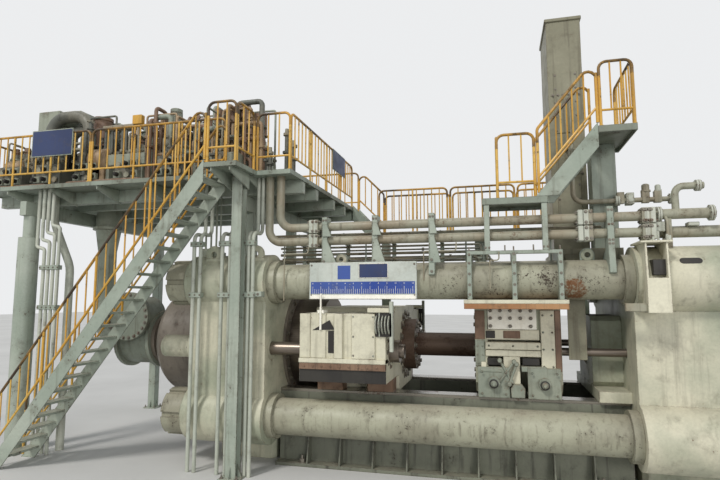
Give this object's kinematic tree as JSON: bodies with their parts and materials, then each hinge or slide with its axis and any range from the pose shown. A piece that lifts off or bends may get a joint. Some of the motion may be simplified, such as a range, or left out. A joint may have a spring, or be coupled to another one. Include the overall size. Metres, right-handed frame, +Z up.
{
  "type": "horizontal hydraulic extrusion press",
  "caption": "Heavy horizontal hydraulic extrusion press with tie rods, moving crosshead and container, service platform, stairs, walkways and pipework.",
  "frame": {"origin": "on the ground under the press axis, midway between the inner faces of the two platens", "axes": "+X along the extrusion direction, from the main cylinder to the front platen; +Z up; -Y is the operator's side"},
  "size_m": [15.8, 5.84, 8.5],
  "materials": {
    "machine_green": "faded grey-green machine paint, flaking and rusty at edges",
    "railing_yellow": "worn ochre-yellow paint with dark top rails",
    "bare_steel": "bare steel, browned by heat and light rust",
    "rust_brown": "rust-brown casting with old primer",
    "pale_plate": "pale painted plate",
    "shear_beige": "beige-olive paint, dull",
    "tank_grey": "grey-green paint with oil stains"
  },
  "bodies": {
    "press_frame": {"accumulators": "tank_grey", "base_frame": "machine_green", "bed_cross_members": "machine_green", "deck_pipes": "tank_grey", "die_bed": "machine_green", "die_carrier": "machine_green", "front_platen": "machine_green", "guard_panel": "machine_green", "guide_rails": "bare_steel", "landing_deck": "machine_green", "landing_posts": "machine_green", "lifting_eyes": "machine_green", "link_stair": "machine_green", "main_cylinder": "rust_brown", "main_stair": "machine_green", "main_stair_railings": "railing_yellow", "oil_tank": "tank_grey", "pipe_brackets": "machine_green", "platen_bracket": "machine_green", "platen_pedestals": "machine_green", "platform_columns": "machine_green", "platform_deck": "machine_green", "platform_headers": "machine_green", "platform_joists": "machine_green", "platform_railings": "railing_yellow", "prefill_valve": "tank_grey", "pump_units": "tank_grey", "rear_platen": "machine_green", "return_cylinders": "machine_green", "riser_clamps": "tank_grey", "riser_pipes": "tank_grey", "saddle_beam": "rust_brown", "saddle_frame": "machine_green", "scale_board": "pale_plate", "shear_bridge": "machine_green", "shear_housing": "shear_beige", "shear_slide": "shear_beige", "side_landings": "machine_green", "side_pipework": "machine_green", "side_railings": "railing_yellow", "side_stair": "machine_green", "suction_pipe": "tank_grey", "tie_rod_nuts": "machine_green", "tie_rods": "machine_green", "twin_pipes": "machine_green", "valve_blocks": "tank_grey", "walkway": "machine_green", "walkway_railings": "railing_yellow"},
    "crosshead": {"crosshead": "machine_green", "crosshead_shoes": "machine_green", "main_ram": "bare_steel", "stem": "bare_steel", "side_rods": "bare_steel", "pointer": "bare_steel"},
    "container": {"container_housing": "machine_green", "container_liner": "bare_steel", "cover_plate": "pale_plate", "container_shoes": "machine_green", "container_rods": "bare_steel"}
  },
  "joints": [
    {"name": "crosshead_slide", "type": "slide", "parent": "press_frame", "child": "crosshead", "axis": [1, 0, 0], "range_m": [-0.55, 1.05]},
    {"name": "container_slide", "type": "slide", "parent": "press_frame", "child": "container", "axis": [1, 0, 0], "range_m": [-0.1, 0.53]}
  ]
}
